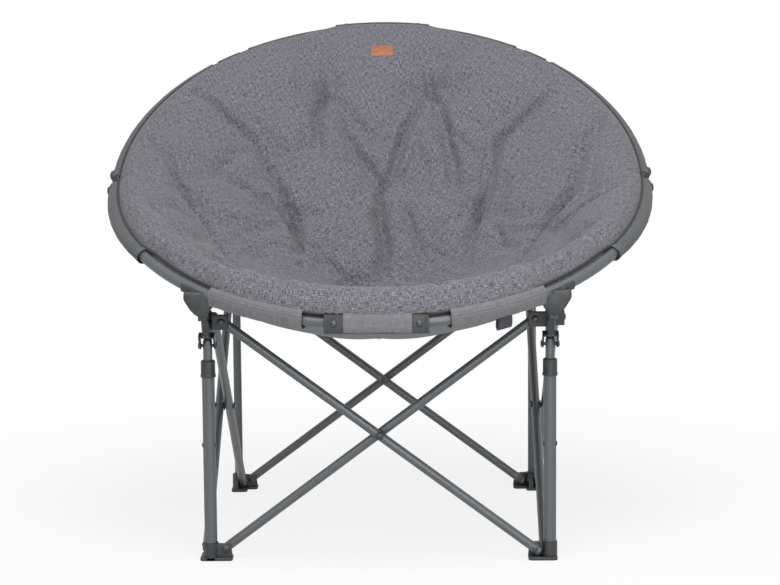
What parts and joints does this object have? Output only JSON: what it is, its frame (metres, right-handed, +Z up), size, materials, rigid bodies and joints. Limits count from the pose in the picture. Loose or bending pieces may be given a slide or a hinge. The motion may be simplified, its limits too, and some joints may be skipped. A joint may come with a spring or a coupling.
{
  "type": "folding saucer chair",
  "caption": "Round padded saucer seat on a hinged tubular rim, over four posts with crossed tubes that fold the whole chair into an upright bundle",
  "frame": {"origin": "on the floor, under the middle of the open chair's bounding box", "axes": "+Z up, -Y towards the front of the seat, +X to the right of someone who looks at its front"},
  "size_m": [0.9862, 0.8548, 0.9253],
  "materials": {
    "tube": "satin grey metallic powder coat on steel tube",
    "plastic": "fine-textured moulded nylon, charcoal black",
    "steel": "dark grey plated and painted steel",
    "pad": "grey melange woven polyester, quilted",
    "shell": "plain woven grey polyester",
    "leather": "bare tan leather",
    "webbing": "black woven nylon webbing"
  },
  "bodies": {
    "stand_front_left": {"foot_front_left": "plastic", "outer_post_front_left": "tube", "collar_front_left": "plastic"},
    "scissor_front_inner": {"scissor_front_inner": "tube", "crossing_bolt_front": "steel"},
    "scissor_front_outer": {"scissor_front_outer": "tube"},
    "top_front_left": {"inner_post_front_left": "tube", "hub_front_left": "plastic"},
    "stand_front_right": {"foot_front_right": "plastic", "outer_post_front_right": "tube", "collar_front_right": "plastic"},
    "top_front_right": {"inner_post_front_right": "tube", "hub_front_right": "plastic"},
    "scissor_left_outer": {"scissor_left_outer": "tube"},
    "scissor_left_inner": {"scissor_left_inner": "tube", "crossing_bolt_left": "steel"},
    "stand_back_left": {"foot_back_left": "plastic", "post_back_left": "tube", "bracket_back_left": "plastic"},
    "slider_back_left": {"hub_back_left": "plastic"},
    "scissor_back_outer": {"scissor_back_outer": "tube"},
    "scissor_back_inner": {"scissor_back_inner": "tube", "crossing_bolt_back": "steel"},
    "stand_back_right": {"foot_back_right": "plastic", "post_back_right": "tube", "bracket_back_right": "plastic"},
    "slider_back_right": {"hub_back_right": "plastic"},
    "scissor_right_inner": {"scissor_right_inner": "tube", "crossing_bolt_right": "steel"},
    "scissor_right_outer": {"scissor_right_outer": "tube"},
    "fork_left": {"fork_front_left": "steel"},
    "fork_right": {"fork_front_right": "steel"},
    "seat_front_left": {"rim_front_left": "tube", "saddle_front_left": "plastic", "knuckle_front_left": "plastic", "shell_front_left": "shell", "pad_front_left": "pad"},
    "seat_front_right": {"rim_front_right": "tube", "saddle_front_right": "plastic", "knuckle_front_right": "plastic", "shell_front_right": "shell", "pad_front_right": "pad", "strap_front": "webbing"},
    "hinge_front": {"hinge_channel_front": "plastic"},
    "seat_back_left": {"rim_back_left": "tube", "saddle_back_left": "plastic", "knuckle_back_left": "plastic", "shell_back_left": "shell", "pad_back_left": "pad", "tab_back": "leather"},
    "seat_back_right": {"rim_back_right": "tube", "saddle_back_right": "plastic", "knuckle_back_right": "plastic", "shell_back_right": "shell", "pad_back_right": "pad"},
    "hinge_back": {"hinge_channel_back": "plastic"}
  },
  "joints": [
    {"name": "fold", "type": "hinge", "parent": "stand_front_left", "child": "scissor_front_inner", "pos_m": [-0.267, -0.23916, 0.02], "axis": [0, -1, 0], "range_deg": [0, 46], "deforming": ["pad_front_left", "pad_front_right", "pad_back_left", "pad_back_right", "shell_front_left", "shell_front_right", "shell_back_left", "shell_back_right", "tab_back", "strap_front"]},
    {"name": "crossing_front", "type": "hinge", "parent": "scissor_front_inner", "child": "scissor_front_outer", "pos_m": [0, -0.24816, 0.219], "axis": [0, -1, 0], "range_deg": [-92, 0]},
    {"name": "hub_pivot_front_left", "type": "hinge", "parent": "scissor_front_outer", "child": "top_front_left", "pos_m": [-0.267, -0.25716, 0.418], "axis": [0, -1, 0], "range_deg": [0, 46]},
    {"name": "foot_pivot_front_right", "type": "hinge", "parent": "scissor_front_outer", "child": "stand_front_right", "pos_m": [0.267, -0.25716, 0.02], "axis": [0, -1, 0], "range_deg": [0, 46]},
    {"name": "hub_pivot_front_right", "type": "hinge", "parent": "scissor_front_inner", "child": "top_front_right", "pos_m": [0.267, -0.23916, 0.418], "axis": [0, -1, 0], "range_deg": [-46, 0]},
    {"name": "foot_pivot_left", "type": "hinge", "parent": "stand_front_left", "child": "scissor_left_outer", "pos_m": [-0.302, -0.22216, 0.02], "axis": [1, 0, 0], "range_deg": [0, 46]},
    {"name": "crossing_left", "type": "hinge", "parent": "scissor_left_outer", "child": "scissor_left_inner", "pos_m": [-0.293, 0.04484, 0.219], "axis": [1, 0, 0], "range_deg": [-92, 0]},
    {"name": "foot_pivot_back_left", "type": "hinge", "parent": "scissor_left_inner", "child": "stand_back_left", "pos_m": [-0.284, 0.31184, 0.02], "axis": [1, 0, 0], "range_deg": [0, 46]},
    {"name": "hub_pivot_back_left", "type": "hinge", "parent": "scissor_left_outer", "child": "slider_back_left", "pos_m": [-0.302, 0.31184, 0.418], "axis": [1, 0, 0], "range_deg": [-46, 0]},
    {"name": "foot_pivot_back", "type": "hinge", "parent": "stand_back_left", "child": "scissor_back_outer", "pos_m": [-0.267, 0.34684, 0.02], "axis": [0, -1, 0], "range_deg": [0, 46]},
    {"name": "crossing_back", "type": "hinge", "parent": "scissor_back_outer", "child": "scissor_back_inner", "pos_m": [0, 0.33784, 0.219], "axis": [0, -1, 0], "range_deg": [-92, 0]},
    {"name": "foot_pivot_back_right", "type": "hinge", "parent": "scissor_back_inner", "child": "stand_back_right", "pos_m": [0.267, 0.32884, 0.02], "axis": [0, -1, 0], "range_deg": [0, 46]},
    {"name": "hub_pivot_back_right", "type": "hinge", "parent": "scissor_back_outer", "child": "slider_back_right", "pos_m": [0.267, 0.34684, 0.418], "axis": [0, -1, 0], "range_deg": [-46, 0]},
    {"name": "foot_pivot_right", "type": "hinge", "parent": "stand_front_right", "child": "scissor_right_inner", "pos_m": [0.284, -0.22216, 0.02], "axis": [1, 0, 0], "range_deg": [0, 46]},
    {"name": "crossing_right", "type": "hinge", "parent": "scissor_right_inner", "child": "scissor_right_outer", "pos_m": [0.293, 0.04484, 0.219], "axis": [1, 0, 0], "range_deg": [-92, 0]},
    {"name": "fork_pitch_left", "type": "hinge", "parent": "top_front_left", "child": "fork_left", "pos_m": [-0.293, -0.24816, 0.375], "axis": [1, 0, 0], "range_deg": [-4.85, 0]},
    {"name": "fork_pitch_right", "type": "hinge", "parent": "top_front_right", "child": "fork_right", "pos_m": [0.293, -0.24816, 0.375], "axis": [1, 0, 0], "range_deg": [-4.85, 0]},
    {"name": "seat_roll_front_left", "type": "hinge", "parent": "fork_left", "child": "seat_front_left", "pos_m": [-0.297, -0.2882, 0.43752], "axis": [0, 1, 0], "range_deg": [-89.94, 0]},
    {"name": "seat_roll_front_right", "type": "hinge", "parent": "fork_right", "child": "seat_front_right", "pos_m": [0.297, -0.2882, 0.43752], "axis": [0, 1, 0], "range_deg": [0, 89.94]},
    {"name": "rim_hinge_front", "type": "hinge", "parent": "seat_front_left", "child": "hinge_front", "pos_m": [-0.07, -0.40871, 0.43417], "axis": [0, 1, 0], "range_deg": [0, 89.94]},
    {"name": "seat_swivel_back_left", "type": "hinge", "parent": "stand_back_left", "child": "seat_back_left", "pos_m": [-0.293, 0.33784, 0.82], "axis": [0, 0.3105, 0.9506], "range_deg": [-101, 0]},
    {"name": "seat_swivel_back_right", "type": "hinge", "parent": "stand_back_right", "child": "seat_back_right", "pos_m": [0.293, 0.33784, 0.82], "axis": [0, 0.3105, 0.9506], "range_deg": [0, 101]},
    {"name": "rim_hinge_back", "type": "hinge", "parent": "seat_back_left", "child": "hinge_back", "pos_m": [-0.07, 0.40717, 0.90521], "axis": [0, 0.3105, 0.9506], "range_deg": [0, 101]}
  ],
  "couplings": [
    {"joint": "crossing_front", "follows": "fold", "ratio": -2},
    {"joint": "hub_pivot_front_left", "follows": "fold", "ratio": 1},
    {"joint": "foot_pivot_front_right", "follows": "fold", "ratio": 1},
    {"joint": "hub_pivot_front_right", "follows": "fold", "ratio": -1},
    {"joint": "foot_pivot_left", "follows": "fold", "ratio": 1},
    {"joint": "crossing_left", "follows": "fold", "ratio": -2},
    {"joint": "foot_pivot_back_left", "follows": "fold", "ratio": 1},
    {"joint": "hub_pivot_back_left", "follows": "fold", "ratio": -1},
    {"joint": "foot_pivot_back", "follows": "fold", "ratio": 1},
    {"joint": "crossing_back", "follows": "fold", "ratio": -2},
    {"joint": "foot_pivot_back_right", "follows": "fold", "ratio": 1},
    {"joint": "hub_pivot_back_right", "follows": "fold", "ratio": -1},
    {"joint": "foot_pivot_right", "follows": "fold", "ratio": 1},
    {"joint": "crossing_right", "follows": "fold", "ratio": -2},
    {"joint": "fork_pitch_left", "follows": "fold", "ratio": -0.10435},
    {"joint": "fork_pitch_right", "follows": "fold", "ratio": -0.10435},
    {"joint": "seat_roll_front_left", "follows": "fold", "ratio": -1.9541},
    {"joint": "seat_roll_front_right", "follows": "fold", "ratio": 1.9541},
    {"joint": "rim_hinge_front", "follows": "fold", "ratio": 1.9541},
    {"joint": "seat_swivel_back_left", "follows": "fold", "ratio": -2.1957},
    {"joint": "seat_swivel_back_right", "follows": "fold", "ratio": 2.1957},
    {"joint": "rim_hinge_back", "follows": "fold", "ratio": 2.1957}
  ]
}
